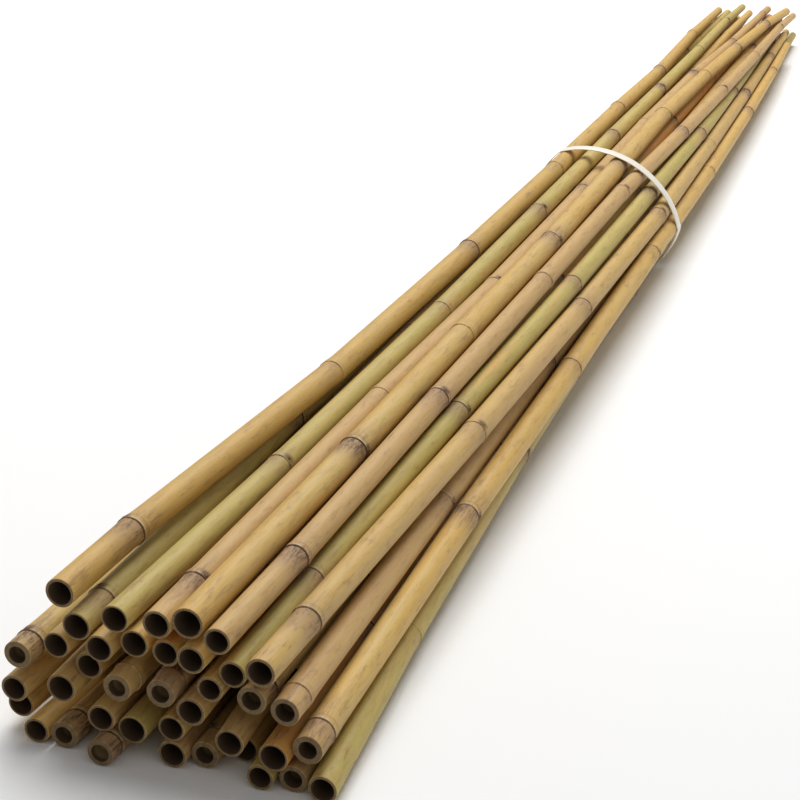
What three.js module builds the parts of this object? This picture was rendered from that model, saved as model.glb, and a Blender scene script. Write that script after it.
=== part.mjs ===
// A bundle of bamboo garden canes lying on a floor, drawn together near its middle by one flat strap.
// Units are millimetres and +Z is up. The canes run along +Y, thick cut ends first.
// The finished group stands on z = 0, with its bounding box centred on x = 0 and y = 0.
import * as THREE from "three";

// ---- Driving dimensions -------------------------------------------------------------------------

const CANE_LENGTH = 1829; // from a thick cut end to its thin cut end
const SHORTEST_BY = 130; // the shortest cane is about this much shorter
const THIN_END_RATIO = 0.55; // thin end diameter over thick end diameter
const TAPER_POWER = 3; // how late along the length a cane starts to thin
const SIDES = 8; // sides of a cane's cross-section

const NODE_RISE = 0.3; // how far the ring at a node stands out of the wall
const NODE_RUN = 6; // length of the slope on each side of that ring
const DIAPHRAGM = 5; // thickness of the wall that closes the bore at a node
const END_CLEAR = 9; // shortest distance from a node to a cut end
const THICK_END_BORE = 0.8; // bore radius over outer radius at a thick end
const THIN_END_BORE = 0.42; // the same at a thin end
const LONGEST_BORE = 200; // depth of a bore where no node closes it sooner
const NEAR_NODE = 20; // a cane cut closer than this to a node shows a thicker wall, so
const NEAR_NODE_BORE = 0.64; // its bore is narrower
const BORE_SPREAD = 0.07; // how far the bores of single canes fall short of these

const GAP = 0.2; // clear space between two neighbours
const FLOOR_CLEAR = 0.02; // clear space under the lowest canes

const STRAP_AT = 889; // distance of the strap's middle from the thick ends
const STRAP_WIDTH = 12;
const STRAP_THICKNESS = 0.7;

// The heap of thick ends, and the bunch that the strap draws the canes into.
const HEAP = { halfWidth: 96, halfHeight: 48, middle: 42 };
const BUNCH = { x: 9, z: 50, halfWidth: 49, halfHeight: 43, turn: 0.25, extraTurn: 0.26 };
const REACH_BEFORE = 640; // distance before the strap over which it holds the canes together
const REACH_AFTER = 260; // and the distance after it
const BUNCH_FLARE = 0.05; // how fast the bunch widens on each side of the strap
const BUNCH_DRIFT = 0.014; // how fast its middle moves towards -X before the strap
const STRAP_SIDES = 72;
const STRAP_EASING = 6; // how far the stiff strap is from lying tight on every cane

const KINK = 0.014; // largest bend at a node near the thick end, in radians
const TIP_KINK = 0.03; // the same near the thin end
const END_STIFF = 60; // a node closer than this to a cut end does not bend
const STATIONS = 37; // cross-sections at which the canes are kept apart
const PACKING_ROUNDS = 400;
const SETTLING_ROUNDS = 200;

// One row for each cane, as the bundle lies, at the thick ends:
// across, height, set-back, thick end diameter, distance to the first node, usual internode length.
// A height of 0 stands for a cane that lies on the floor.
const CANES = [
  [-61, 93, 0, 16.6, 73, 262],
  [-52.5, 76, 0, 15.8, 29, 268],
  [-30, 83, 0, 15.4, 204, 266],
  [-89, 51.5, 0, 15.8, 13, 253],
  [-66.5, 60.5, 2, 14.8, 118, 237],
  [-40.5, 64.5, 0, 15.4, 205, 249],
  [-21.5, 69.5, 3, 15.6, 164, 264],
  [-6, 83.5, 0, 15.8, 46, 262],
  [11, 88.5, 0, 17.4, 230, 224],
  [28.5, 83, -3, 14.8, 99, 246],
  [-4, 66.5, 4, 15.2, 142, 246],
  [13.5, 69.5, -3, 15.6, 96, 262],
  [-50.5, 49, 6, 15.4, 210, 235],
  [-63.5, 37, -1, 16.6, 154, 267],
  [-91, 30.5, -1, 15.4, 84, 242],
  [-96, 14, 11, 15.2, 176, 251],
  [-29, 45.5, -4, 15.6, 12, 246],
  [-4.5, 46.5, -3, 15.8, 13, 271],
  [22, 52.5, 0, 14.4, 132, 239],
  [34.5, 61.5, 2, 15.0, 104, 258],
  [50.5, 68, -2, 16.4, 60, 271],
  [44.5, 50, 0, 15.8, 15, 249],
  [63, 47.5, 0, 15.8, 17, 262],
  [-40.5, 23.5, -2, 15.6, 92, 255],
  [-23, 20.5, 0, 16.2, 198, 264],
  [11, 37.5, -1, 16.2, 146, 253],
  [-80.5, 0, -1, 14.6, 110, 237],
  [-64, 0, -1, 15.8, 14, 258],
  [-38, 0, -10, 15.2, 10, 244],
  [-1, 23.5, 0, 14.8, 168, 249],
  [-1.5, 0, 1, 15.8, 78, 260],
  [16.5, 0, 6, 15.4, 15, 251],
  [33, 24, -2, 15.8, 124, 267],
  [33.5, 0, 18, 15.0, 188, 242],
  [57.5, 21, -4, 16.2, 136, 258],
  [50, 0, -3, 14.8, 98, 246],
  [75.5, 25.5, 0, 16.4, 18, 269],
  [67.5, 0, 1, 15.2, 16, 253],
  [83, 0, -4, 16.0, 156, 262],
  [-75.5, 23.5, 62, 15.0, 120, 251],
  [-14.5, 33.5, 44, 15.2, 90, 244],
  [45, 34.5, 54, 15.2, 112, 264],
];

// ---- One cane's own shape -----------------------------------------------------------------------

// A repeatable number from 0 to 1 for a cane and a purpose.
function spread(cane, purpose) {
  const s = Math.sin(cane * 12.9898 + purpose * 78.233) * 43758.5453;
  return s - Math.floor(s);
}

// The wall's radius at a distance y from the thick ends, away from the nodes.
function wallRadius(cane, y) {
  const t = THREE.MathUtils.clamp((y - cane.from) / (cane.to - cane.from), 0, 1);
  return (cane.diameter / 2) * (1 - (1 - THIN_END_RATIO) * t ** TAPER_POWER);
}

// The distances of a cane's nodes from the thick ends: even internodes that shorten towards the tip.
function nodePlaces(cane) {
  const places = [];
  let y = cane.from + cane.firstNode;
  for (let n = 0; y < cane.to - END_CLEAR; n++) {
    places.push(y);
    const uneven = 0.92 + 0.16 * spread(cane.number, n + 3);
    const nearTip = 1 - 0.28 * ((y - cane.from) / CANE_LENGTH) ** 2;
    y += cane.internode * uneven * nearTip;
  }
  return places;
}

// ---- How the canes lie together -----------------------------------------------------------------

const strapShare = STRAP_AT / CANE_LENGTH;
const stationGap = CANE_LENGTH / (STATIONS - 1);
const stations = Array.from({ length: STATIONS }, (_, k) => k * stationGap);

// Where a cane is drawn to under the strap. The wide, low heap of thick ends becomes a round bunch,
// and the bunch turns a little on the way, most of all down its +X side.
function strapPlace(cane) {
  const across = cane.x / HEAP.halfWidth;
  const up = (cane.z - HEAP.middle) / HEAP.halfHeight;
  const outness = Math.min(Math.hypot(across, up), 1.05);
  const angle = Math.atan2(cane.z - HEAP.middle, cane.x);
  const turned = angle - BUNCH.turn - BUNCH.extraTurn * Math.cos(angle - 0.6);
  return {
    x: BUNCH.x + BUNCH.halfWidth * outness * Math.cos(turned),
    z: BUNCH.z + BUNCH.halfHeight * outness * Math.sin(turned),
  };
}

// Where a cane would lie at a distance y from the thick ends if the others were not there.
function freePlace(cane, y) {
  const t = y / CANE_LENGTH;
  const butt = { x: cane.x, z: cane.z };
  const strap = strapPlace(cane);
  const fan = 24 * (spread(cane.number, 2) - 0.5);
  const tip = { x: 1.1 * strap.x - 37 + fan, z: 2 + 0.52 * strap.z };
  const [a, b, s] = t < strapShare
    ? [butt, strap, t / strapShare]
    : [strap, tip, (t - strapShare) / (1 - strapShare)];
  return { x: a.x + (b.x - a.x) * s, z: a.z + (b.z - a.z) * s };
}

function describeCane(row, index) {
  const [x, height, setBack, diameter, firstNode, internode] = row;
  const z = height || diameter / 2 + NODE_RISE + FLOOR_CLEAR;
  const number = index + 1;
  const from = setBack;
  const to = CANE_LENGTH + setBack * 0.4 - SHORTEST_BY * spread(number, 1) ** 2.2;
  const cane = { number, x, z, from, to, diameter, firstNode, internode };
  cane.nodes = nodePlaces(cane);
  // A cane is straight between its nodes, so its line is fixed by its ends and the nodes clear of them.
  const bends = cane.nodes.filter((y) => y - from > END_STIFF && to - y > END_STIFF);
  cane.knots = [from, ...bends, to].map((y) => ({ y, ...freePlace(cane, y) }));
  cane.tip = freePlace(cane, to);
  cane.slices = stations.map((y) => slice(cane, y));
  return cane;
}

// Where a cane's line is at y: the two knots beside it, and how far on from the first of them.
function slice(cane, y) {
  const { knots } = cane;
  let n = 0;
  while (n + 2 < knots.length && knots[n + 1].y < y) n++;
  const share = (y - knots[n].y) / (knots[n + 1].y - knots[n].y);
  const within = y > cane.from - stationGap && y < cane.to + stationGap;
  return { a: knots[n], b: knots[n + 1], share, within, radius: wallRadius(cane, y) };
}

function centreOf({ a, b, share }) {
  return { x: a.x + (b.x - a.x) * share, z: a.z + (b.z - a.z) * share };
}

// Moves a cane's line at a slice by (dx, dz), by moving the knots on both sides of it.
function nudge({ a, b, share }, dx, dz) {
  const near = 1 - share;
  const whole = near * near + share * share;
  a.x += (dx * near) / whole;
  a.z += (dz * near) / whole;
  b.x += (dx * share) / whole;
  b.z += (dz * share) / whole;
}

// Moves each knot towards the line between its neighbours, because a cane resists bending.
// The small kink that stays at a node is the crookedness a cane grows with.
function straighten(cane) {
  const { knots, number } = cane;
  for (let n = 1; n + 1 < knots.length; n++) {
    const [before, knot, after] = [knots[n - 1], knots[n], knots[n + 1]];
    const share = (knot.y - before.y) / (after.y - before.y);
    const kink = KINK + (TIP_KINK - KINK) * (knot.y / CANE_LENGTH) ** 2;
    const arm = share * (after.y - knot.y) * kink;
    const x = before.x + (after.x - before.x) * share + arm * (2 * spread(number, n + 40) - 1);
    const z = before.z + (after.z - before.z) * share + arm * (2 * spread(number, n + 70) - 1);
    knot.x += 0.5 * (x - knot.x);
    knot.z += 0.5 * (z - knot.z);
  }
}

// Draws a cane inwards where it lies outside the round of the bunch, near the strap.
function gather(cane) {
  cane.slices.forEach((place, k) => {
    const past = stations[k] - STRAP_AT;
    if (past < -REACH_BEFORE || past > REACH_AFTER) return;
    const centre = centreOf(place);
    const middle = BUNCH.x + BUNCH_DRIFT * Math.min(past, 0);
    const flare = BUNCH_FLARE * Math.abs(past);
    const dx = middle - centre.x;
    const dz = BUNCH.z - centre.z;
    const outness = Math.hypot(dx / (BUNCH.halfWidth + flare), dz / (BUNCH.halfHeight + 0.4 * flare));
    if (outness > 1) nudge(place, 0.5 * dx * (1 - 1 / outness), 0.5 * dz * (1 - 1 / outness));
  });
}

// Moves the canes apart at one station until each pair is clear, and lifts them off the floor.
function separate(canes, k) {
  const places = canes.map((cane) => cane.slices[k]).filter((place) => place.within);
  const strapUnder = Math.abs(stations[k] - STRAP_AT) < stationGap / 2 ? STRAP_THICKNESS + GAP : 0;
  places.forEach((first, i) => {
    for (const second of places.slice(i + 1)) {
      const p = centreOf(first);
      const q = centreOf(second);
      const need = first.radius + second.radius + 2 * NODE_RISE + GAP;
      const apart = Math.hypot(q.x - p.x, q.z - p.z) || 1e-6;
      if (apart >= need) continue;
      const push = (need - apart) / 2 / apart;
      nudge(first, (p.x - q.x) * push, (p.z - q.z) * push);
      nudge(second, (q.x - p.x) * push, (q.z - p.z) * push);
    }
  });
  for (const place of places) {
    const lowest = place.radius + NODE_RISE + FLOOR_CLEAR + strapUnder;
    const short = lowest - centreOf(place).z;
    if (short > 0) nudge(place, 0, short);
  }
}

// Lifts each knot of a cane off the floor.
function lift(cane) {
  for (const knot of cane.knots) {
    knot.z = Math.max(knot.z, wallRadius(cane, knot.y) + NODE_RISE + FLOOR_CLEAR);
  }
}

// Keeps a knot near the place it is meant for.
function hold(knot, place, strength) {
  knot.x += strength * (place.x - knot.x);
  knot.z += strength * (place.z - knot.z);
}

function packCanes(canes) {
  for (let round = 0; round < PACKING_ROUNDS; round++) {
    const ease = 1 - round / PACKING_ROUNDS;
    for (const cane of canes) {
      for (const knot of cane.knots) knot.z -= 0.12 * ease;
      hold(cane.knots[0], cane, 0.3);
      hold(cane.knots.at(-1), cane.tip, 0.06);
      gather(cane);
      straighten(cane);
    }
    for (let k = 0; k < STATIONS; k++) separate(canes, k);
  }
  for (let round = 0; round < SETTLING_ROUNDS; round++) {
    canes.forEach(lift);
    for (let k = 0; k < STATIONS; k++) separate(canes, k);
  }
}

const centreAt = (cane, y) => centreOf(slice(cane, y));

// ---- Solids -------------------------------------------------------------------------------------

// A closed skin through rings of equal length, each an array of [x, y, z], with both ends closed.
function skin(rings) {
  const sides = rings[0].length;
  const positions = rings.flat(2);
  const faces = [];
  for (let r = 0; r + 1 < rings.length; r++) {
    for (let s = 0; s < sides; s++) {
      const a = r * sides + s;
      const b = r * sides + ((s + 1) % sides);
      faces.push(a, b + sides, b, a, a + sides, b + sides);
    }
  }
  const last = (rings.length - 1) * sides;
  for (let s = 1; s + 1 < sides; s++) {
    faces.push(0, s, s + 1);
    faces.push(last, last + s + 1, last + s);
  }
  const geometry = new THREE.BufferGeometry();
  geometry.setAttribute("position", new THREE.Float32BufferAttribute(positions, 3));
  geometry.setIndex(faces);
  geometry.computeVertexNormals();
  return geometry;
}

// The rings of one cane in order: from the bottom of the thick end's bore out to the cut, along the
// wall over every node, round the thin end's cut and down to the bottom of its bore. One corner of
// each ring points straight down, where a cane may touch the floor.
function caneRings(cane) {
  const ring = (y, radius) => {
    const centre = centreAt(cane, y);
    return Array.from({ length: SIDES }, (_, s) => {
      const angle = (s * Math.PI * 2) / SIDES - Math.PI / 2;
      return [centre.x + radius * Math.cos(angle), y, centre.z + radius * Math.sin(angle)];
    });
  };
  const thick = wallRadius(cane, cane.from);
  const thin = wallRadius(cane, cane.to);
  const firstNode = cane.nodes[0] - cane.from;
  const lastNode = cane.to - cane.nodes.at(-1);
  const thickDepth = Math.min(firstNode - DIAPHRAGM / 2, LONGEST_BORE);
  const thinDepth = Math.min(lastNode - DIAPHRAGM / 2, LONGEST_BORE);
  const share = firstNode < NEAR_NODE ? NEAR_NODE_BORE : THICK_END_BORE;
  const bore = thick * (share - BORE_SPREAD * spread(cane.number, 6));

  const rings = [
    ring(cane.from + thickDepth, bore),
    ring(cane.from, bore),
    ring(cane.from, thick),
  ];
  for (const y of cane.nodes) {
    const before = Math.max(y - NODE_RUN, cane.from + 2);
    const after = Math.min(y + NODE_RUN, cane.to - 2);
    rings.push(ring(before, wallRadius(cane, before)));
    rings.push(ring(y, wallRadius(cane, y) + NODE_RISE));
    rings.push(ring(after, wallRadius(cane, after)));
  }
  rings.push(ring(cane.to, thin));
  rings.push(ring(cane.to, thin * THIN_END_BORE));
  rings.push(ring(cane.to - thinDepth, thin * THIN_END_BORE));
  return rings;
}

// How far the strap's inner face is from the middle of the bunch, in evenly turned directions.
// It clears every cane, and where it would bend sharply over one of them it stands off a little.
function strapReach(canes) {
  const tight = Array.from({ length: STRAP_SIDES }, (_, n) => {
    const angle = (n * Math.PI * 2) / STRAP_SIDES;
    const reaches = canes.map((cane) => {
      const centre = centreAt(cane, STRAP_AT);
      const out = (centre.x - BUNCH.x) * Math.cos(angle) + (centre.z - BUNCH.z) * Math.sin(angle);
      return out + wallRadius(cane, STRAP_AT) + NODE_RISE + GAP;
    });
    return Math.max(...reaches);
  });
  let eased = tight;
  for (let round = 0; round < STRAP_EASING; round++) {
    const at = (n) => eased[(n + STRAP_SIDES) % STRAP_SIDES];
    eased = tight.map((reach, n) => {
      const mean = (at(n - 2) + at(n - 1) + at(n) + at(n + 1) + at(n + 2)) / 5;
      return Math.max(reach, mean);
    });
  }
  return eased;
}

// The corners of the outline whose sides lie at those distances, none of them lower than the floor.
function outline(reaches, lowest) {
  const step = (Math.PI * 2) / STRAP_SIDES;
  return reaches.map((reach, n) => {
    const next = reaches[(n + 1) % STRAP_SIDES];
    const along = (next - reach * Math.cos(step)) / Math.sin(step);
    const angle = n * step;
    return {
      x: BUNCH.x + reach * Math.cos(angle) - along * Math.sin(angle),
      z: Math.max(lowest, BUNCH.z + reach * Math.sin(angle) + along * Math.cos(angle)),
    };
  });
}

function strapGeometry(canes) {
  const reaches = strapReach(canes);
  const inner = outline(reaches, STRAP_THICKNESS);
  const outer = outline(reaches.map((reach) => reach + STRAP_THICKNESS), 0);
  const corner = ({ x, z }, side) => [x, STRAP_AT + (side * STRAP_WIDTH) / 2, z];
  const sections = inner.map((place, n) => [
    corner(place, 1),
    corner(place, -1),
    corner(outer[n], -1),
    corner(outer[n], 1),
  ]);
  return closedLoop(sections);
}

// A closed band through cross-sections of equal length that follow one another round a loop.
function closedLoop(sections) {
  const count = sections.length;
  const sides = sections[0].length;
  const faces = [];
  for (let n = 0; n < count; n++) {
    const m = (n + 1) % count;
    for (let s = 0; s < sides; s++) {
      const t = (s + 1) % sides;
      faces.push(n * sides + s, n * sides + t, m * sides + t);
      faces.push(n * sides + s, m * sides + t, m * sides + s);
    }
  }
  const geometry = new THREE.BufferGeometry();
  geometry.setAttribute("position", new THREE.Float32BufferAttribute(sections.flat(2), 3));
  geometry.setIndex(faces);
  geometry.computeVertexNormals();
  return geometry;
}

// ---- Assembly -----------------------------------------------------------------------------------

const canes = CANES.map(describeCane);
packCanes(canes);

const bamboo = new THREE.MeshStandardMaterial({ name: "bamboo", color: 0xc8aa6e, roughness: 0.5 });
const plastic = new THREE.MeshStandardMaterial({ name: "strap_plastic", color: 0xf2ede2, roughness: 0.4 });

const group = new THREE.Group();
group.name = "cane_bundle";
for (const cane of canes) {
  const mesh = new THREE.Mesh(skin(caneRings(cane)), bamboo);
  mesh.name = `cane_${String(cane.number).padStart(2, "0")}`;
  group.add(mesh);
}
const strap = new THREE.Mesh(strapGeometry(canes), plastic);
strap.name = "strap";
group.add(strap);

// Stand the group on the floor with its box centred over the origin.
const box = new THREE.Box3().setFromObject(group, true);
const middle = box.getCenter(new THREE.Vector3());
group.position.set(-middle.x, -middle.y, -box.min.z);
group.updateMatrixWorld(true);

export default group;
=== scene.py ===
# %% [markdown]
# # A tied bundle of bamboo garden canes
#
# Forty-two canes lie in a loose heap on the floor, all with their thick cut ends one way, and one
# flat plastic strap draws them together near the middle. The solids already say where each cane
# lies, how thick it is and where its nodes are. This lesson reads those facts back, grows a
# detailed cane along each line, and gives bamboo and plastic their finishes.

import math
import random

import bpy
import numpy as np
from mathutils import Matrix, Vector


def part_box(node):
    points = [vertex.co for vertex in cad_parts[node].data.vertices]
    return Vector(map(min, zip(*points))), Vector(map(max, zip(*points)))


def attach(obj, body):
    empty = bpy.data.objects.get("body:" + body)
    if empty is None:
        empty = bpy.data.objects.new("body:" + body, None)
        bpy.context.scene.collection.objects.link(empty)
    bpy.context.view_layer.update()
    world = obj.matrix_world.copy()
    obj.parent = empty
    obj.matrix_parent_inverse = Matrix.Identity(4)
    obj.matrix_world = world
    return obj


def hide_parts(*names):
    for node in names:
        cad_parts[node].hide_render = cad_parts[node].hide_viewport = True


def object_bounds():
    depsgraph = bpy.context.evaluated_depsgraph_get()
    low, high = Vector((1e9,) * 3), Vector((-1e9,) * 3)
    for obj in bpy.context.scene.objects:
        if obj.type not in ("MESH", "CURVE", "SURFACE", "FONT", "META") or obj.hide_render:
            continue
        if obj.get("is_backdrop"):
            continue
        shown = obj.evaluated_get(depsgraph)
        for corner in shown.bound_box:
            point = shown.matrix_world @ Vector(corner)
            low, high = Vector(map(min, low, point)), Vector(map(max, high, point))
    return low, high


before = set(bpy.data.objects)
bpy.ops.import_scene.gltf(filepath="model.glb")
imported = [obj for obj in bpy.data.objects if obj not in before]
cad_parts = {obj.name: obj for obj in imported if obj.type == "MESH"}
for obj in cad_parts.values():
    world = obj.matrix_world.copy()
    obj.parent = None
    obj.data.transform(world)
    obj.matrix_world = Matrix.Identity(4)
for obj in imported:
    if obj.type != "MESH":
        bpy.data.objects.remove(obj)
solid_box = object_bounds()
cane_names = sorted(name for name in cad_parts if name.startswith("cane_"))
print(len(cane_names), "canes and", len(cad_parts) - len(cane_names), "strap")

# %% [markdown]
# ## Reading a cane's line
#
# A cane's solid is a stack of eight-sided rings, each lying square to the bundle. Sorting its
# corners by their distance along the bundle gives the rings back. The widest corner of a ring gives
# the cane's radius there, and the middle of the ring is a point of its centre line. The rings at the
# two cut ends also hold the mouth of a bore, and another ring of just that radius, a little way in,
# is the bottom of the same bore. Of the rest, a ring that is wider than the one before it is a node.

# %% Rings of a solid, from the thick end to the thin end
RING_GAP = 0.0003  # two rings are further apart than this along the bundle


def rings_of(node):
    corners = np.unique(np.round([corner.co[:] for corner in node.data.vertices], 5), axis=0)
    corners = corners[np.argsort(corners[:, 1])]
    breaks = np.flatnonzero(np.diff(corners[:, 1]) > RING_GAP) + 1
    rings = []
    for group in np.split(corners, breaks):
        middle = group.mean(axis=0)
        reach = np.hypot(group[:, 0] - middle[0], group[:, 2] - middle[2])
        rings.append({"middle": middle, "outer": reach.max(), "inner": reach.min()})
    return rings


print("the first cane has", len(rings_of(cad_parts[cane_names[0]])), "rings")

# %% A cane's line, thickness, nodes and bores
SHORTEST_BORE, LONGEST_BORE = 0.001, 0.25
SAME_RADIUS = 0.00004
NODE_STEP = 0.0001  # a node's ring is wider than the ring before it by more than this


def bore_bottom(cut, rings):
    deep = [r for r in rings
            if SHORTEST_BORE < abs(r["middle"][1] - cut["middle"][1]) < LONGEST_BORE
            and abs(r["outer"] - cut["inner"]) < SAME_RADIUS]
    return deep[0] if deep else cut


class Cane:
    def __init__(self, name):
        self.name = name
        self.number = int(name.split("_")[1])
        self.rng = random.Random(7000 + self.number)
        rings = rings_of(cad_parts[name])
        thick, thin = rings[0], rings[-1]
        bottoms = [bore_bottom(thick, rings), bore_bottom(thin, rings[::-1])]
        wall = [r for r in rings
                if r is thick or r is thin or not any(r is bottom for bottom in bottoms)]
        self.start, self.end = thick["middle"][1], thin["middle"][1]
        self.along = np.array([r["middle"][1] for r in wall])
        self.across = np.array([r["middle"][0] for r in wall])
        self.height = np.array([r["middle"][2] for r in wall])
        rises = [i for i in range(1, len(wall))
                 if wall[i]["outer"] > wall[i - 1]["outer"] + NODE_STEP]
        self.nodes = [wall[i]["middle"][1] for i in rises]
        plain = [r for i, r in enumerate(wall) if i not in rises]
        self.plain_along = np.array([r["middle"][1] for r in plain])
        self.plain_radius = np.array([r["outer"] for r in plain])
        self.thick_bore = (thick["inner"], bottoms[0]["middle"][1])
        self.thin_bore = (thin["inner"], bottoms[1]["middle"][1])

    def middle(self, y):
        return np.interp(y, self.along, self.across), np.interp(y, self.along, self.height)

    def radius(self, y):
        return float(np.interp(y, self.plain_along, self.plain_radius))


canes = [Cane(name) for name in cane_names]
print("nodes on a cane:", min(len(c.nodes) for c in canes), "to", max(len(c.nodes) for c in canes))
print("thick ends, mm:", round(2000 * min(c.radius(c.start) for c in canes), 1), "to",
      round(2000 * max(c.radius(c.start) for c in canes), 1))
print("bores, mm:", [round(1000 * (c.thick_bore[1] - c.start)) for c in canes])

# %% [markdown]
# ## Growing a cane
#
# A real cane is one hollow stem. At each node a thin ledge is left where the leaf sheath broke off,
# and just above it the wall swells into a low ridge. The stem could be a lathe shape bent along a
# curve, but its nodes lie at uneven distances and its line bends a little at each of them. So it is
# drawn as a glass-blower draws a tube: a small disc at the bottom of the first bore is extruded ring
# by ring, out of the bore, over the rim, along the whole wall and down into the thin end.

# %% The shape of a node, and how high its ridge may be
MM = 0.001
# Distance from the node and height above the wall, in millimetres, from the thick side to the thin.
NODE_SHAPE = [(-16, 0), (-7, 0.06), (-2.6, 0.16), (-1.0, 0.24), (-0.65, 0.72), (0.15, 0.78),
              (0.6, 0.34), (1.5, 0.26), (2.9, 0.56), (4.6, 0.58), (7.5, 0.22), (15, 0)]
FLOOR_RIDGE, CROWDED_RIDGE = 0.4, 0.5
RIDGE_ROOM = 1.8 * MM  # two walls that are closer than this have no room for two ridges
SAME_PLACE = 6 * MM


def ridge_size(cane, node):
    """A ridge is low on the floor, and where the next cane has one too, as there is no room for it."""
    x, z = cane.middle(node)
    if z - cane.radius(node) < 1 * MM:
        return FLOOR_RIDGE
    for other in canes:
        other_x, other_z = other.middle(node)
        apart = math.hypot(other_x - x, other_z - z) - cane.radius(node) - other.radius(node)
        level = any(abs(place - node) < SAME_PLACE for place in other.nodes)
        if other is not cane and level and apart < RIDGE_ROOM:
            return CROWDED_RIDGE
    return cane.rng.uniform(0.8, 1.1)


print("a node is drawn with", len(NODE_SHAPE), "rings")

# %% The outline of a cane, as rings of (distance along, radius)
CUT_MARGIN = 1.2 * MM  # a node's rings end this far from a cut end
LONG_STRETCH = 0.08  # a longer stretch between two nodes has three rings of its own


def outline_of(cane):
    bore, depth = cane.thick_bore
    rim = cane.radius(cane.start)
    rings = [
        (depth + 1.1 * MM, 0.30 * bore), (depth + 0.7 * MM, 0.72 * bore),
        (depth - 1.2 * MM, 0.97 * bore),
        (cane.start + 2.5 * MM, bore), (cane.start + 0.6 * MM, 1.06 * bore),
        (cane.start, 1.1 * bore), (cane.start, rim - 0.4 * MM), (cane.start + 0.4 * MM, rim),
    ]
    wall = []
    for node in cane.nodes:
        size = ridge_size(cane, node)
        wall += [(node + along * MM, cane.radius(node + along * MM) + rise * size * MM)
                 for along, rise in NODE_SHAPE]
    stops = [cane.start] + cane.nodes + [cane.end]
    for before, after in zip(stops, stops[1:]):
        if after - before > LONG_STRETCH:
            wall += [(y, cane.radius(y)) for y in np.linspace(before, after, 5)[1:-1]]
    rings += sorted(ring for ring in wall
                    if cane.start + CUT_MARGIN < ring[0] < cane.end - CUT_MARGIN)
    bore, depth = cane.thin_bore
    rim = cane.radius(cane.end)
    rings += [
        (cane.end - 0.25 * MM, rim), (cane.end, rim - 0.3 * MM), (cane.end, 1.06 * bore),
        (cane.end - 0.3 * MM, bore), (depth + 1.0 * MM, 0.95 * bore), (depth, 0.5 * bore),
    ]
    return rings


# %% Draw each cane, ring by ring
SIDES = 28


def clear_selection():
    bpy.ops.object.select_all(action="DESELECT")


def grow(cane):
    rings = outline_of(cane)
    y, radius = rings[0]
    x, z = cane.middle(y)
    clear_selection()
    bpy.ops.mesh.primitive_circle_add(vertices=SIDES, radius=radius, fill_type="NGON",
                                      location=(x, y, z), rotation=(math.pi / 2, 0, 0))
    piece = bpy.context.object
    piece.name = f"stem_{cane.number:02d}"
    bpy.ops.object.transform_apply(location=True, rotation=True, scale=True)
    bpy.ops.object.mode_set(mode="EDIT")
    bpy.ops.mesh.select_all(action="SELECT")
    for next_y, next_radius in rings[1:]:
        next_x, next_z = cane.middle(next_y)
        step = (next_x - x, next_y - y, next_z - z)
        bpy.ops.mesh.extrude_region_move(TRANSFORM_OT_translate={"value": step})
        grown = next_radius / radius
        bpy.ops.transform.resize(value=(grown, 1, grown), center_override=(next_x, next_y, next_z))
        x, y, z, radius = next_x, next_y, next_z, next_radius
    bpy.ops.mesh.select_all(action="SELECT")
    bpy.ops.mesh.normals_make_consistent(inside=False)
    bpy.ops.object.mode_set(mode="OBJECT")
    return piece


stems = {cane.name: grow(cane) for cane in canes}
print("stems have", sum(len(stem.data.polygons) for stem in stems.values()), "faces")

# %% [markdown]
# ## Buds and branch scars
#
# Every node carries one bud, and the buds sit on opposite sides from node to node. On some nodes it
# is a closed bud, a small pointed scale pressed to the stem. On others a side branch grew and was
# trimmed off, which leaves a short round stub with a hollow middle. Each is modelled once, lying at
# the origin with the stem below it and its tip towards +Y, and then copied to its nodes.

# %% A closed bud
def closed_bud():
    clear_selection()
    bpy.ops.mesh.primitive_uv_sphere_add(segments=8, ring_count=6, radius=1, location=(0, 0, 0))
    bud = bpy.context.object
    bud.name = "bud_pattern"
    bud.scale = (1.5 * MM, 2.6 * MM, 0.7 * MM)
    bpy.ops.object.transform_apply(location=True, rotation=True, scale=True)
    bpy.ops.object.mode_set(mode="EDIT")
    bpy.ops.mesh.select_all(action="DESELECT")
    bpy.ops.object.mode_set(mode="OBJECT")
    for corner in bud.data.vertices:
        corner.select = corner.co.y > 1.0 * MM
    bpy.ops.object.mode_set(mode="EDIT")
    bpy.ops.transform.resize(value=(0.45, 1.3, 0.7), center_override=(0, 1.0 * MM, 0))
    bpy.ops.object.mode_set(mode="OBJECT")
    return bud


# %% A trimmed branch stub
def branch_stub():
    clear_selection()
    bpy.ops.mesh.primitive_cylinder_add(vertices=10, radius=1.7 * MM, depth=1.8 * MM,
                                        location=(0, 0, 0))
    stub = bpy.context.object
    stub.name = "stub_pattern"
    bpy.ops.object.mode_set(mode="EDIT")
    bpy.ops.mesh.select_mode(type="FACE")
    bpy.ops.mesh.select_all(action="DESELECT")
    bpy.ops.object.mode_set(mode="OBJECT")
    for face in stub.data.polygons:
        face.select = face.normal.z > 0.9
    bpy.ops.object.mode_set(mode="EDIT")
    bpy.ops.transform.resize(value=(0.7, 0.7, 1), center_override=(0, 0, 0.9 * MM))
    bpy.ops.transform.translate(value=(0, 0.6 * MM, 0))
    bpy.ops.mesh.inset(thickness=0.4 * MM)
    bpy.ops.mesh.extrude_region_move(TRANSFORM_OT_translate={"value": (0, 0, -0.5 * MM)})
    bpy.ops.mesh.select_all(action="SELECT")
    bpy.ops.mesh.normals_make_consistent(inside=False)
    bpy.ops.mesh.select_mode(type="VERT")
    bpy.ops.object.mode_set(mode="OBJECT")
    return stub


bud_pattern, stub_pattern = closed_bud(), branch_stub()
print("faces of a bud and a stub:", [len(p.data.polygons) for p in (bud_pattern, stub_pattern)])

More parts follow.
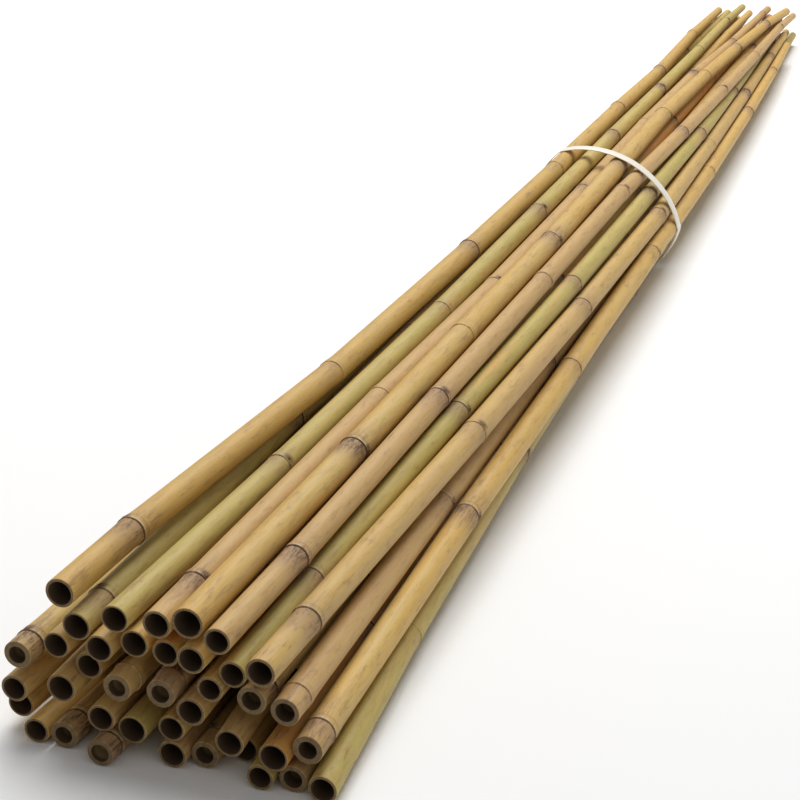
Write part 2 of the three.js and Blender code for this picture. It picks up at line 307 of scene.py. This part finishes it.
# %% Which way the buds look
STUB_ROOM, AMPLE_ROOM = 1.6 * MM, 3 * MM
SWINGS = (0, 0.25, -0.25, 0.5, -0.5, 0.75, -0.75)  # radians away from the side that is its turn


def free_space(cane, y, angle, out):
    """How far a point beside a cane, this far out from its middle, is from the next cane's wall."""
    x, z = cane.middle(y)
    x, z = x + out * math.cos(angle), z + out * math.sin(angle)
    gaps = [math.hypot(other.middle(y)[0] - x, other.middle(y)[1] - z) - other.radius(y)
            for other in canes if other is not cane and other.start - 0.01 < y < other.end + 0.01]
    return min(gaps + [z, 0.05])


def choose_sides(cane):
    """Buds alternate from side to side, turned a little to where the neighbours leave them room."""
    turn = cane.rng.uniform(0, 2 * math.pi)
    cane.bud_angles, cane.bud_room = [], []
    for place, node in enumerate(cane.nodes):
        near = turn + place * math.pi
        tries = [near + swing for swing in SWINGS]
        rooms = [free_space(cane, node + 2 * MM, angle, cane.radius(node)) for angle in tries]
        worth = [min(room, AMPLE_ROOM) - 0.2 * MM * abs(angle - near)
                 for angle, room in zip(tries, rooms)]
        best = worth.index(max(worth))
        cane.bud_angles.append(tries[best])
        cane.bud_room.append(rooms[best])


for cane in canes:
    choose_sides(cane)
print("nodes with room for a stub:", sum(room > STUB_ROOM for cane in canes for room in cane.bud_room))

# %% Copy them to the nodes
STUB_SHARE = 0.45  # of the nodes that have room for a stub
FULL_SIZE_AT = 7.5 * MM  # a thinner cane than this has smaller buds


def put_buds(cane):
    clear_selection()
    copies = []
    for angle, room, node in zip(cane.bud_angles, cane.bud_room, cane.nodes):
        stub = room > STUB_ROOM and cane.rng.random() < STUB_SHARE
        pattern = stub_pattern if stub else bud_pattern
        y = node + cane.rng.uniform(1.8, 2.6) * MM
        x, z = cane.middle(y)
        reach = cane.radius(y) + 0.1 * MM
        size = min(1.0, reach / FULL_SIZE_AT) * cane.rng.uniform(0.8, 1.05)
        copy = pattern.copy()
        copy.data = pattern.data.copy()
        bpy.context.collection.objects.link(copy)
        copy.location = (x + reach * math.cos(angle), y, z + reach * math.sin(angle))
        copy.rotation_euler = (0, math.pi / 2 - angle, 0)
        copy.scale = (size, size, size)
        copy.select_set(True)
        copies.append(copy)
    bpy.context.view_layer.objects.active = copies[0]
    bpy.ops.object.transform_apply(location=True, rotation=True, scale=True)
    return copies


buds = {cane.name: put_buds(cane) for cane in canes}
bpy.data.objects.remove(bud_pattern)
bpy.data.objects.remove(stub_pattern)
print("buds and stubs placed:", sum(len(group) for group in buds.values()))

# %% [markdown]
# ## Facts for the finish
#
# The colour of a cane depends on where you are on it: near a node or not, on the wall, on the cut
# rim or inside the bore. Such facts are stored on the mesh as attributes, one number or vector for
# each corner, and the material reads them. `grain` holds the place around the wall and the place
# along it, so that a pattern can be drawn out into fibres. `node_gap` is the distance to the nearest
# node in millimetres. `node_side` is below zero on the thick side of it and above zero on the thin
# side. `bud_side` is 1 on the side of the wall where that node's bud is and -1 opposite. `part` is 0
# on the wall, 1 on a cut rim, 2 in a bore and 3 on a bud. `mark` says how strongly the nearest node
# is marked: most are faint, and a few are dark. `tone` makes one cane differ from the next: its
# first number is the cane's hue, the second is spare, and the third says how dark the cane is.

# %% The hue of each cane, and how strongly its nodes are marked
HUES = {"pink": 0.06, "straw": 0.26, "gold": 0.44, "hay": 0.6, "green": 0.8, "orange": 0.97}
# Canes whose hue is given. Each of the others draws one of four.
CHOSEN = {
    "pink": (8, 10, 18, 23, 33), "gold": (1, 7, 9, 12, 37, 38, 41), "hay": (4, 22, 28, 30),
    "green": (2, 3, 20, 25, 36, 39), "orange": (11, 35), "straw": (5, 6, 13, 17, 19, 21, 24, 26, 42),
}


def choose_tone(cane):
    given = [name for name, numbers in CHOSEN.items() if cane.number in numbers]
    name = given[0] if given else cane.rng.choice(["straw", "gold", "pink", "hay"])
    cane.tone = [HUES[name] + cane.rng.uniform(-0.03, 0.03), cane.rng.random(), cane.rng.random()]
    cane.marks = [cane.rng.random() ** 1.5 for _ in cane.nodes]
    return name


hues = [choose_tone(cane) for cane in canes]
print("canes of each hue:", {name: hues.count(name) for name in HUES})

# %% Write a fact on a mesh, and tell rim, bore and wall apart
def store(mesh, name, kind, values):
    layer = mesh.attributes.new(name, kind, "POINT")
    field = "vector" if kind == "FLOAT_VECTOR" else "value"
    layer.data.foreach_set(field, np.ravel(values).astype(np.float32))


def corners_of(mesh):
    flat = np.empty(len(mesh.vertices) * 3)
    mesh.vertices.foreach_get("co", flat)
    return flat.reshape(-1, 3)


def part_of(cane, y, reach):
    part = np.zeros(len(y))
    wall = np.array([cane.radius(value) for value in y])
    for bore, mouth in ((cane.thick_bore, cane.start), (cane.thin_bore, cane.end)):
        low, high = sorted((mouth, bore[1] + math.copysign(0.002, bore[1] - mouth)))
        near = (y >= low - 1e-5) & (y <= high + 1e-5)
        part[near & (reach < 0.93 * wall)] = 2
        part[(np.abs(y - mouth) < 0.0001) & (reach < 0.99 * wall)] = 1
    return part


# %% Store the facts on each piece
GRAIN_SHIFT = 3.7  # metres of pattern between one cane and the next, so that no two look alike
LONGEST_GAP = 80  # millimetres from a node, past which nothing changes any more
SIDE_REACH = 7  # millimetres from a node at which node_side reaches 1


def store_facts(cane, mesh, part=None):
    corners = corners_of(mesh)
    y = corners[:, 1]
    x, z = cane.middle(y)
    turn = np.arctan2(corners[:, 2] - z, corners[:, 0] - x)
    reach = np.hypot(corners[:, 2] - z, corners[:, 0] - x)
    gaps = y[:, None] - np.array(cane.nodes)[None, :]
    nearest = np.abs(gaps).argmin(axis=1)
    gap = gaps[np.arange(len(y)), nearest] * 1000
    bud = np.cos(turn - np.array(cane.bud_angles)[nearest])
    grain = np.stack([np.cos(turn), np.sin(turn), y + cane.number * GRAIN_SHIFT], axis=1)
    parts = part_of(cane, y, reach) if part is None else np.full(len(y), part)
    store(mesh, "grain", "FLOAT_VECTOR", grain)
    store(mesh, "node_gap", "FLOAT", np.minimum(np.abs(gap), LONGEST_GAP))
    store(mesh, "node_side", "FLOAT", np.clip(gap / SIDE_REACH, -1, 1))
    store(mesh, "bud_side", "FLOAT", bud)
    store(mesh, "mark", "FLOAT", np.array(cane.marks)[nearest])
    store(mesh, "part", "FLOAT", parts)
    store(mesh, "tone", "FLOAT_VECTOR", [cane.tone] * len(y))


for cane in canes:
    store_facts(cane, stems[cane.name].data)
    for bud in buds[cane.name]:
        store_facts(cane, bud.data, part=3)
print("facts stored on", len(stems) + sum(len(group) for group in buds.values()), "meshes")

# %% Join each stem and its buds into one cane
for cane in canes:
    stem = stems[cane.name]
    clear_selection()
    for piece in buds[cane.name]:
        piece.select_set(True)
    stem.select_set(True)
    bpy.context.view_layer.objects.active = stem
    bpy.ops.object.join()
    bpy.ops.object.shade_smooth_by_angle(angle=math.radians(38))
    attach(stem, "root")
    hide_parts(cane.name)
print("canes finished:", len(stems))

# %% [markdown]
# ## The strap
#
# The bundle is held by packing strap: a thin plastic band pulled tight, so it runs straight from
# one cane to the next and bends only over the outermost ones. Its solid already has that line. In a
# copy, the short overlap where the two ends are welded together is raised out of the outer face,
# low on the right, and then all edges are softened.

# %% The welded overlap of the strap
WELD_START, WELD_END = -0.62, -0.18  # radians round the band, from its right side
WELD_RISE = 0.0006


def raise_overlap(band):
    """Raises a short run of the outer face, where two layers of the strap lie on each other."""
    bpy.ops.mesh.select_mode(type="FACE")
    bpy.ops.mesh.select_all(action="DESELECT")
    bpy.ops.object.mode_set(mode="OBJECT")
    low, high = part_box("strap")
    middle = (Vector(low) + Vector(high)) / 2
    for face in band.data.polygons:
        out = face.center - middle
        outside = face.normal.dot(Vector((out.x, 0, out.z))) > 0 and abs(face.normal.y) < 0.5
        face.select = outside and WELD_START < math.atan2(out.z, out.x) < WELD_END
    bpy.ops.object.mode_set(mode="EDIT")
    bpy.ops.mesh.extrude_region_shrink_fatten(TRANSFORM_OT_shrink_fatten={"value": WELD_RISE})
    bpy.ops.object.mode_set(mode="OBJECT")


# %% The strap with soft edges
def strap_piece():
    clear_selection()
    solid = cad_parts["strap"]
    band = solid.copy()
    band.data = solid.data.copy()
    band.name = "strap_band"
    bpy.context.collection.objects.link(band)
    band.hide_render = False
    band.hide_set(False)
    band.parent = None
    band.select_set(True)
    bpy.context.view_layer.objects.active = band
    bpy.ops.object.mode_set(mode="EDIT")
    bpy.ops.mesh.select_all(action="SELECT")
    bpy.ops.mesh.remove_doubles(threshold=0.00001)
    bpy.ops.mesh.normals_make_consistent(inside=False)
    raise_overlap(band)
    bevel = band.modifiers.new("soft edges", "BEVEL")
    bevel.width = 0.18 * MM
    bevel.segments = 2
    bevel.limit_method = "ANGLE"
    bevel.angle_limit = math.radians(60)
    bpy.ops.object.modifier_apply(modifier=bevel.name)
    bpy.ops.object.shade_smooth_by_angle(angle=math.radians(35))
    return band


band = strap_piece()
low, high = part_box("strap")
print("strap, mm:", [round(1000 * (b - a), 1) for a, b in zip(low, high)])

# %% [markdown]
# ## A small language for shader sums
#
# A finish is a sum of patterns: fibres, stains, rings. Wiring it by hand hides the idea in a web of
# nodes. Here a class wraps a socket so that `1 - mask` or `fibres * 0.2` adds the Math node, and one
# method adds any other node. Its settings are made first, because some of them change its sockets.

# %% Sockets that can be added and multiplied
class Value:
    def __init__(self, finish, socket):
        self.finish, self.socket = finish, socket

    def sum(self, operation, first, second):
        return self.finish.add("ShaderNodeMath", {"operation": operation}, {0: first, 1: second})

    def __add__(self, other):
        return self.sum("ADD", self, other)

    def __sub__(self, other):
        return self.sum("SUBTRACT", self, other)

    def __rsub__(self, other):
        return self.sum("SUBTRACT", other, self)

    def __mul__(self, other):
        return self.sum("MULTIPLY", self, other)

    __radd__ = __add__
    __rmul__ = __mul__


# %% A finish and its nodes
def paint(red, green, blue):
    """A colour from its usual 0 to 255 numbers, as the shader wants it."""
    shares = [part / 255 for part in (red, green, blue)]
    return tuple(s / 12.92 if s <= 0.04045 else ((s + 0.055) / 1.055) ** 2.4 for s in shares) + (1.0,)


class Finish:
    def __init__(self, name):
        self.material = bpy.data.materials.new(name)
        self.material.use_nodes = True
        self.tree = self.material.node_tree
        self.tree.nodes.clear()

    def add(self, kind, settings=None, inputs=None, output=0):
        node = self.tree.nodes.new(kind)
        for name, value in (settings or {}).items():
            if name == "stops":
                self.set_stops(node.color_ramp, value)
            else:
                setattr(node, name, value)
        for name, value in (inputs or {}).items():
            if isinstance(value, Value):
                self.tree.links.new(value.socket, node.inputs[name])
            else:
                node.inputs[name].default_value = value
        return Value(self, node.outputs[output])

    @staticmethod
    def set_stops(ramp, stops):
        while len(ramp.elements) < len(stops):
            ramp.elements.new(0.5)
        for element, (place, colour) in zip(ramp.elements, stops):
            element.position, element.color = place, colour

    def fact(self, name, output="Fac"):
        return self.add("ShaderNodeAttribute", {"attribute_name": name}, output=output)

    def along(self, vector, axis):
        return self.add("ShaderNodeSeparateXYZ", {}, {0: vector}, output=axis)

    def stretch(self, vector, x, y, z):
        return self.add("ShaderNodeVectorMath", {"operation": "MULTIPLY"}, {0: vector, 1: (x, y, z)})

    def noise(self, vector, detail=2.0, roughness=0.5, scale=1.0):
        sockets = {"Vector": vector, "Scale": scale, "Detail": detail, "Roughness": roughness}
        return self.add("ShaderNodeTexNoise", {}, sockets)

    def rise(self, value, low, high):
        """0 below low, 1 above high and a smooth slope between; low may be the larger of the two."""
        return self.add("ShaderNodeMapRange", {"interpolation_type": "SMOOTHSTEP"},
                        {"Value": value, "From Min": low, "From Max": high})

    def mix(self, share, first, second):
        return self.add("ShaderNodeMix", {"data_type": "RGBA"}, {0: share, 6: first, 7: second},
                        output=2)

    def cells(self, vector):
        return self.add("ShaderNodeTexVoronoi", {}, {"Vector": vector, "Scale": 1.0})

    def bump(self, height, strength, distance):
        sockets = {"Strength": strength, "Distance": distance, "Height": height}
        return self.add("ShaderNodeBump", {}, sockets, output="Normal")

    def surface(self, **sockets):
        named = {name.replace("_", " "): value for name, value in sockets.items()}
        shader = self.add("ShaderNodeBsdfPrincipled", {}, named)
        out = self.tree.nodes.new("ShaderNodeOutputMaterial")
        self.tree.links.new(shader.socket, out.inputs["Surface"])


print("straw, as the shader has it:", [round(part, 3) for part in paint(206, 174, 110)])

# %% [markdown]
# ## Bamboo
#
# Dried bamboo is straw-coloured, but no two canes match: some are pinkish tan, some keep a little
# green, a few have turned orange. Broad soft clouds of colour run over the skin, and very fine
# fibres run along it. A node is a thin dark line, often broken, with a pale lip and a faint second
# line above it, and the sheath that once sat there left a soft greyish bloom and a few brown streaks
# below. Where a cane is cut the wall is dull and dotted with the ends of fibres. Inside the bore the
# colour is the pale tan of a node's diaphragm near a node, and away from the nodes it is dark brown,
# which is painted shade for the dark depth of the bore. The patterns are drawn in the space of
# `grain`, so they run with the cane wherever it lies.

# %% Patterns that run with the cane
bamboo = Finish("bamboo")
grain = bamboo.fact("grain", "Vector")
tone = bamboo.fact("tone", "Vector")
hue_of_cane, darkness_of_cane = (bamboo.along(tone, axis) for axis in "XZ")

fibres = bamboo.noise(bamboo.stretch(grain, 14, 14, 14), detail=4, roughness=0.6)
hairs = bamboo.noise(bamboo.stretch(grain, 30, 30, 50), detail=2)
clouds = bamboo.noise(bamboo.stretch(grain, 1.1, 1.1, 12), detail=3)
drift = bamboo.noise(bamboo.stretch(grain, 0.5, 0.5, 3.4), detail=1)
blots = bamboo.noise(bamboo.stretch(grain, 1.6, 1.6, 75), detail=3, roughness=0.6)
mottle = bamboo.noise(bamboo.stretch(grain, 6, 6, 190), detail=4, roughness=0.65)
print("patterns so far use", len(bamboo.tree.nodes), "nodes")

# %% Where the nodes, rims and bores are
# Across a node the limits are millimetres, below zero on its thick side. The noise breaks the edges.
gap = bamboo.fact("node_gap")
side = bamboo.fact("node_side")
part = bamboo.fact("part")
mark = bamboo.fact("mark")
bud_side = bamboo.fact("bud_side")

near = bamboo.rise(gap, 10, 7.5)
offset = side * SIDE_REACH + (hairs - 0.5) * 0.9 + (blots - 0.5) * 1.1
line = near * bamboo.rise(offset, -1.3, -0.8) * bamboo.rise(offset, 0.7, 0.2)
lip = near * bamboo.rise(offset, 0.1, 0.5) * bamboo.rise(offset, 2.4, 1.2)
second_line = near * bamboo.rise(offset, 3.2, 3.8) * bamboo.rise(offset, 4.9, 4.3)
below = bamboo.rise(side, 0.3, -0.3)
rim = bamboo.rise(part, 0.3, 0.8) * bamboo.rise(part, 1.7, 1.2)
bore = bamboo.rise(part, 1.2, 1.7) * bamboo.rise(part, 2.7, 2.3)
bud = bamboo.rise(part, 2.3, 2.7)
print("with the masks:", len(bamboo.tree.nodes), "nodes")

# %% The colour of the skin
PINK, STRAW, GOLD = paint(200, 164, 107), paint(205, 172, 102), paint(211, 171, 92)
HAY, GREEN, ORANGE = paint(211, 181, 110), paint(188, 172, 94), paint(221, 159, 80)
hue = hue_of_cane + (drift - 0.5) * 0.42 + (clouds - 0.5) * 0.4
HUE_STOPS = [(0.0, PINK), (0.12, PINK), (0.28, STRAW), (0.44, GOLD), (0.58, HAY), (0.78, GREEN),
             (0.88, GREEN), (1.0, ORANGE)]
skin = bamboo.add("ShaderNodeValToRGB", {"stops": HUE_STOPS}, {0: hue})
skin = bamboo.mix(bamboo.rise(fibres, 0.45, 0.8) * 0.3, skin, paint(176, 132, 74))
skin = bamboo.mix(bamboo.rise(hairs, 0.55, 0.25) * 0.16, skin, paint(228, 202, 140))
skin = bamboo.mix(bamboo.rise(clouds, 0.52, 0.78) * 0.4, skin, paint(196, 150, 108))
skin = bamboo.mix(darkness_of_cane * 0.16, skin, paint(160, 124, 72))

# %% Weather and dirt on the skin
weather = bamboo.noise(bamboo.stretch(grain, 2.4, 2.4, 48), detail=5, roughness=0.7)
place = bamboo.add("ShaderNodeTexCoord", {}, output="Object")
cut_end = bamboo.rise(bamboo.along(place, "Y"), -0.83, -0.925)  # the dirtier last stretch
dirt = bamboo.rise(weather, 0.46, 0.7) * (0.32 + 0.4 * cut_end)
skin = bamboo.mix(dirt, skin, paint(152, 115, 74))
skin = bamboo.mix(bamboo.rise(mottle, 0.54, 0.78) * 0.16, skin, paint(142, 110, 70))
skin = bamboo.mix(bamboo.rise(weather, 0.42, 0.24) * 0.3, skin, paint(222, 194, 130))
skin = bamboo.mix(bamboo.rise(blots + weather, 1.1, 1.42) * 0.5, skin, paint(134, 106, 82))

# %% Bloom, stains, lines and freckles
bloom = bamboo.rise(gap, 38, 2) * (0.35 + below * 0.65) * bamboo.rise(mark + blots, 0.3, 1.05)
streak = bamboo.rise(weather * 0.5 + mottle * 0.5 + mark * 0.1, 0.52, 0.68) * bamboo.rise(gap, 26, 2)
skin = bamboo.mix(bloom * 0.66, skin, paint(156, 125, 99))
skin = bamboo.mix(streak * (0.2 + mark * 0.75) * (0.4 + below * 0.6), skin, paint(92, 68, 52))
skin = bamboo.mix(lip * (0.15 + mark * 0.5) * bamboo.rise(blots, 0.35, 0.6), skin, paint(226, 208, 172))
skin = bamboo.mix(second_line * mark * 0.45, skin, paint(126, 94, 62))
broken = bamboo.rise(blots + mark * 0.3, 0.4, 0.66)
skin = bamboo.mix(line * broken * (0.4 + 0.55 * mark), skin, paint(78, 54, 40))
scar = bamboo.rise(bud_side + (mottle - 0.5) * 0.1, 0.84, 0.99) * bamboo.rise(gap, 8, 2) * (1 - below)
skin = bamboo.mix(scar * 0.8, skin, paint(80, 56, 42))
freckles = bamboo.cells(bamboo.stretch(grain, 2.6, 2.6, 95))
skin = bamboo.mix(bamboo.rise(freckles, 0.09, 0.04) * 0.6, skin, paint(112, 80, 52))
print("the skin uses", len(bamboo.tree.nodes), "nodes")

# %% Rim, bore and buds
dots = bamboo.cells(bamboo.stretch(place, 1500, 0, 1500))
cut_face = bamboo.mix(bamboo.rise(dots, 0.42, 0.2) * 0.5, paint(126, 105, 74), paint(84, 64, 42))
cut_face = bamboo.mix(bamboo.rise(weather, 0.4, 0.7) * 0.5, cut_face, paint(88, 68, 48))
# Inside the bore: pale tan near a node is the diaphragm's own colour; the dark brown further from a
# node is painted shade for the depth of the bore.
pith_and_painted_shade = bamboo.mix(bamboo.rise(gap, 9, 5) * 0.8, paint(74, 56, 36), paint(160, 136, 94))
pith_and_painted_shade = bamboo.mix(bamboo.rise(hairs, 0.4, 0.7) * 0.4, pith_and_painted_shade, paint(50, 36, 24))
scale_colour = bamboo.mix(bamboo.rise(mottle, 0.4, 0.65), paint(84, 60, 42), paint(150, 118, 78))
colour = bamboo.mix(rim, skin, cut_face)
colour = bamboo.mix(bore, colour, pith_and_painted_shade)
colour = bamboo.mix(bud, colour, scale_colour)
print("with rims, bores and buds:", len(bamboo.tree.nodes), "nodes")

# %% Gloss and fine relief, and the finish on every cane
waxed = 1 - bamboo.rise(part, 0.3, 0.8)
rough = 0.8 - waxed * (0.32 - 0.12 * fibres) + bloom * 0.15
relief = fibres * 0.5 + hairs * 0.2 + mottle * 0.25 * bloom - line * broken * 0.5 - second_line * 0.2
bump = bamboo.bump(relief, strength=0.35, distance=0.00025)
bamboo.surface(Base_Color=colour, Roughness=rough, Normal=bump, Specular_IOR_Level=0.35)
for stem in stems.values():
    stem.data.materials.clear()
    stem.data.materials.append(bamboo.material)
print("bamboo has", len(bamboo.tree.nodes), "nodes")

# %% [markdown]
# ## Strapping plastic
#
# The strap is milky polypropylene. Rollers press a fine pattern of slanting ribs into it so that it
# does not slip, and pulling it tight leaves long faint streaks. The ribs follow the length run along
# the band, which is stored on the mesh first.

# %% How far round the band each corner is
SAME_CORNER = 0.0006  # corners closer than this are the layers and edges of one bend


def store_run(piece):
    corners = corners_of(piece.data)
    middle = corners.mean(axis=0)
    turn = np.arctan2(corners[:, 2] - middle[2], corners[:, 0] - middle[0])
    order = np.argsort(turn)
    line = corners[order][:, [0, 2]]
    steps = np.hypot(*np.diff(line, axis=0).T)
    run = np.zeros(len(corners))
    run[order] = np.concatenate([[0], np.cumsum(np.where(steps > SAME_CORNER, steps, 0))])
    places = np.stack([run, corners[:, 1], np.zeros(len(run))], axis=1)
    store(piece.data, "run", "FLOAT_VECTOR", places)
    return run.max()


print("the band is", round(1000 * store_run(band)), "mm round")

# %% The plastic and the band's last details
plastic = Finish("strap_plastic")
run = plastic.fact("run", "Vector")
ribs = plastic.add("ShaderNodeTexWave", {"bands_direction": "DIAGONAL"},
                   {"Vector": plastic.stretch(run, 420, 420, 0), "Scale": 1.0})
streaks = plastic.noise(plastic.stretch(run, 25, 2600, 1), detail=3)
milk = plastic.mix(plastic.rise(streaks, 0.35, 0.75) * 0.5, paint(240, 234, 220), paint(222, 210, 194))
pressed = plastic.bump(ribs + streaks * 0.4, strength=0.4, distance=0.0001)
plastic.surface(Base_Color=milk, Roughness=0.32 + streaks * 0.2, Normal=pressed)
band.data.materials.clear()
band.data.materials.append(plastic.material)
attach(band, "root")
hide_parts("strap")
print("plastic has", len(plastic.tree.nodes), "nodes")

# %% [markdown]
# ## Floor, light and camera
#
# The bundle lies on a plain white floor. One large soft lamp hangs above it and well behind the
# thick ends, so the upper canes are bright and the cut ends and the gaps between them are dark. A
# weak lamp near the camera and a dim sky fill the deepest shadows. The camera looks down on the
# thick ends, from their right, with a moderately long lens.

# %% Floor
clear_selection()
bpy.ops.mesh.primitive_plane_add(size=14, location=(0, 2, 0))
floor = bpy.context.object
floor.name = "floor"
floor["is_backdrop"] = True
ground = Finish("floor_white")
spot = ground.add("ShaderNodeTexCoord", {}, output="Object")
cloudy = ground.noise(spot, scale=3.0)
ground.surface(Base_Color=ground.mix(cloudy, paint(243, 243, 243), paint(246, 246, 246)), Roughness=0.9)
floor.data.materials.append(ground.material)

# %% Lamps and sky
def lamp(name, place, aim, size, watts):
    light = bpy.data.lights.new(name, "AREA")
    light.shape = "RECTANGLE"
    light.size, light.size_y = size
    light.energy = watts
    holder = bpy.data.objects.new(name, light)
    bpy.context.collection.objects.link(holder)
    holder.location = place
    holder.rotation_euler = (Vector(aim) - Vector(place)).to_track_quat("-Z", "Y").to_euler()


lamp("top_lamp", (-0.3, 1.5, 3.4), (0, 0, 0), (3.0, 3.6), 176)
lamp("front_fill", (1.8, -2.4, 2.2), (0, -0.4, 0), (1.6, 1.6), 5)

world = bpy.data.worlds.new("sky")
bpy.context.scene.world = world
world.use_nodes = True
world.node_tree.nodes["Background"].inputs["Color"].default_value = (1.0, 1.0, 1.0, 1.0)
world.node_tree.nodes["Background"].inputs["Strength"].default_value = 0.29
bpy.context.scene.view_settings.view_transform = "Standard"

# %% Camera
camera = bpy.data.cameras.new("camera")
camera.lens, camera.sensor_width = 91.7, 36
camera.clip_start, camera.clip_end = 0.05, 60
eye = bpy.data.objects.new("camera", camera)
bpy.context.collection.objects.link(eye)
eye.location = (0.4218, -1.7271, 0.5857)
eye.rotation_euler = (math.radians(90 - 22.48), 0, math.radians(19.61))
bpy.context.scene.camera = eye
print("camera at", [round(v, 3) for v in eye.location])

# %% Compare the boxes and finish
seen_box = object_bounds()
boxes = {"cad": [list(map(float, corner)) for corner in solid_box],
         "visual": [list(map(float, corner)) for corner in seen_box]}
print("grown by, mm:", [[round(1000 * (b - a), 2) for a, b in zip(one, two)]
                        for one, two in zip(boxes["cad"], boxes["visual"])])
